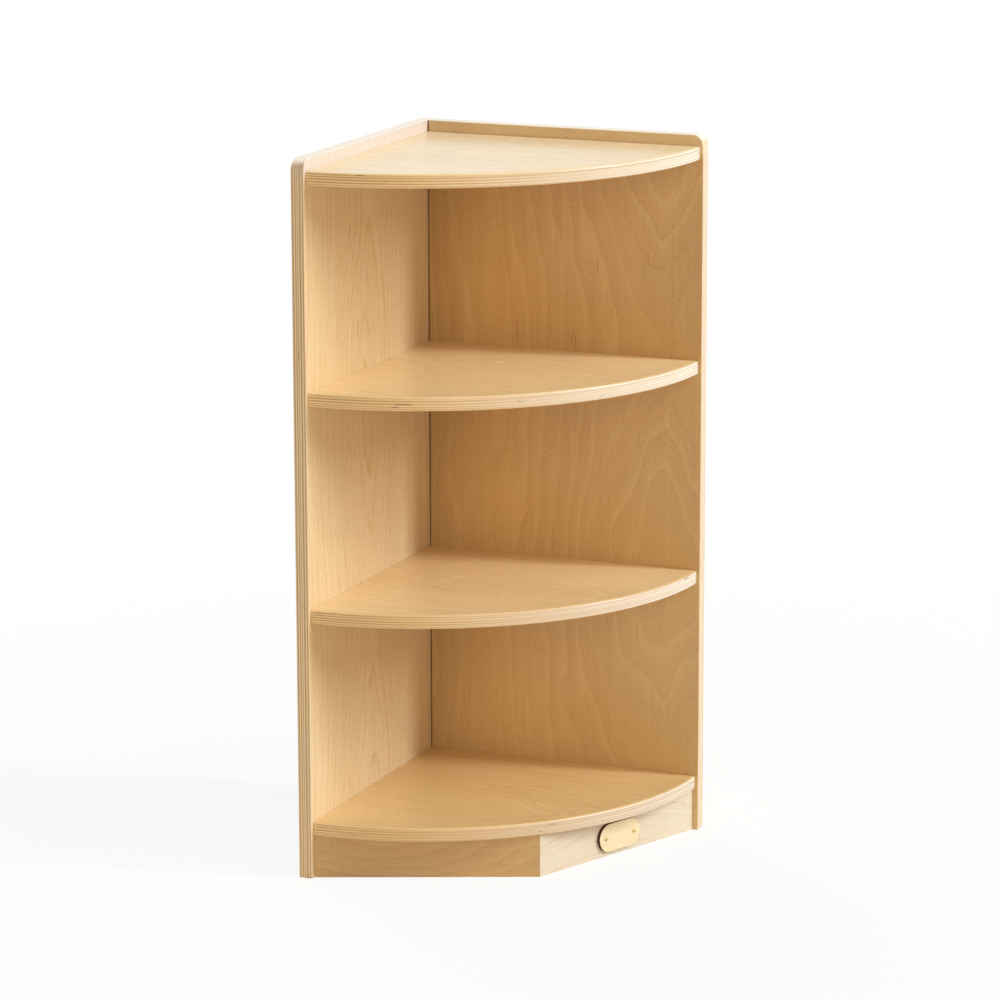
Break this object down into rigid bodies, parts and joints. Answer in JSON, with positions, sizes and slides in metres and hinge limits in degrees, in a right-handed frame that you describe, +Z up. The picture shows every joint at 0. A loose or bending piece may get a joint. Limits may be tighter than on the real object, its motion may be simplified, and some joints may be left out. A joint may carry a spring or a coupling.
{
  "type": "corner shelf unit",
  "caption": "Quarter-round corner shelf unit of plywood: upright panels meet at the back corner, round-fronted shelves sit between them and mitred kick boards close the foot.",
  "frame": {"origin": "middle of the square footprint, on the floor", "axes": "+Z up; the unit opens towards +X and -Y; the left panel's outer face looks along -X and the right panel's rear face along +Y"},
  "size_m": [0.33, 0.33, 0.76],
  "materials": {
    "birch_panel": "birch plywood, clear satin lacquer, grain upright",
    "birch_shelf": "birch plywood, clear satin lacquer, grain along the right panel",
    "birch_kick": "birch plywood, clear satin lacquer, grain along the board",
    "pine_block": "raw sawn pine",
    "beech_dowel": "raw turned beech",
    "zinc_steel": "zinc plated"
  },
  "bodies": {
    "root": {"left_panel": "birch_panel", "right_panel": "birch_panel", "bottom_shelf": "birch_shelf", "lower_shelf": "birch_shelf", "upper_shelf": "birch_shelf", "top_shelf": "birch_shelf", "left_kick_board": "birch_kick", "right_kick_board": "birch_kick", "kick_glue_block": "pine_block", "corner_screw_1": "zinc_steel", "corner_screw_2": "zinc_steel", "corner_screw_3": "zinc_steel", "bottom_shelf_left_screw_1": "zinc_steel", "bottom_shelf_left_screw_2": "zinc_steel", "bottom_shelf_right_screw_1": "zinc_steel", "bottom_shelf_right_screw_2": "zinc_steel", "lower_shelf_left_screw_1": "zinc_steel", "lower_shelf_left_screw_2": "zinc_steel", "lower_shelf_right_screw_1": "zinc_steel", "lower_shelf_right_screw_2": "zinc_steel", "upper_shelf_left_screw_1": "zinc_steel", "upper_shelf_left_screw_2": "zinc_steel", "upper_shelf_right_screw_1": "zinc_steel", "upper_shelf_right_screw_2": "zinc_steel", "top_shelf_left_screw_1": "zinc_steel", "top_shelf_left_screw_2": "zinc_steel", "top_shelf_right_screw_1": "zinc_steel", "top_shelf_right_screw_2": "zinc_steel", "corner_dowel_1": "beech_dowel", "corner_dowel_2": "beech_dowel", "corner_dowel_3": "beech_dowel", "corner_dowel_4": "beech_dowel", "bottom_shelf_left_dowel": "beech_dowel", "bottom_shelf_right_dowel": "beech_dowel", "lower_shelf_left_dowel": "beech_dowel", "lower_shelf_right_dowel": "beech_dowel", "upper_shelf_left_dowel": "beech_dowel", "upper_shelf_right_dowel": "beech_dowel", "top_shelf_left_dowel": "beech_dowel", "top_shelf_right_dowel": "beech_dowel", "left_kick_dowel_1": "beech_dowel", "left_kick_dowel_2": "beech_dowel", "right_kick_dowel_1": "beech_dowel", "right_kick_dowel_2": "beech_dowel"}
  },
  "joints": []
}
